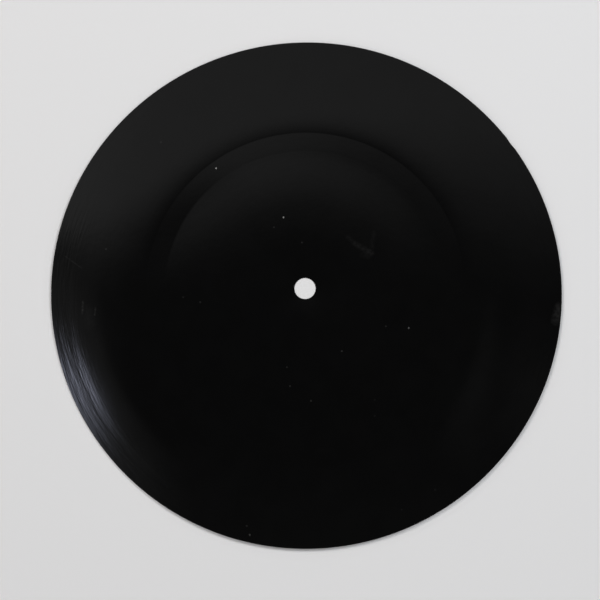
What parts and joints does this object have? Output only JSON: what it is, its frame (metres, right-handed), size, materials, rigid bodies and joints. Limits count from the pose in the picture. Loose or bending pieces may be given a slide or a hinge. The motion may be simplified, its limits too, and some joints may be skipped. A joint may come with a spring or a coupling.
{
  "type": "flexi disc",
  "caption": "Thin flexible round sound recording of glossy black vinyl film, with a spindle hole at its middle and a spiral groove pressed into its underside.",
  "frame": {"origin": "middle of the spindle hole, on the plane of the grooved underside, on which the disc lies", "axes": "+Z runs up through the film to the smooth face; +X is to the right in the picture and +Y is up in it"},
  "size_m": [0.175, 0.175, 0.0002],
  "materials": {
    "vinyl_film": "gloss"
  },
  "bodies": {
    "root": {"vinyl_disc": "vinyl_film"}
  },
  "joints": []
}
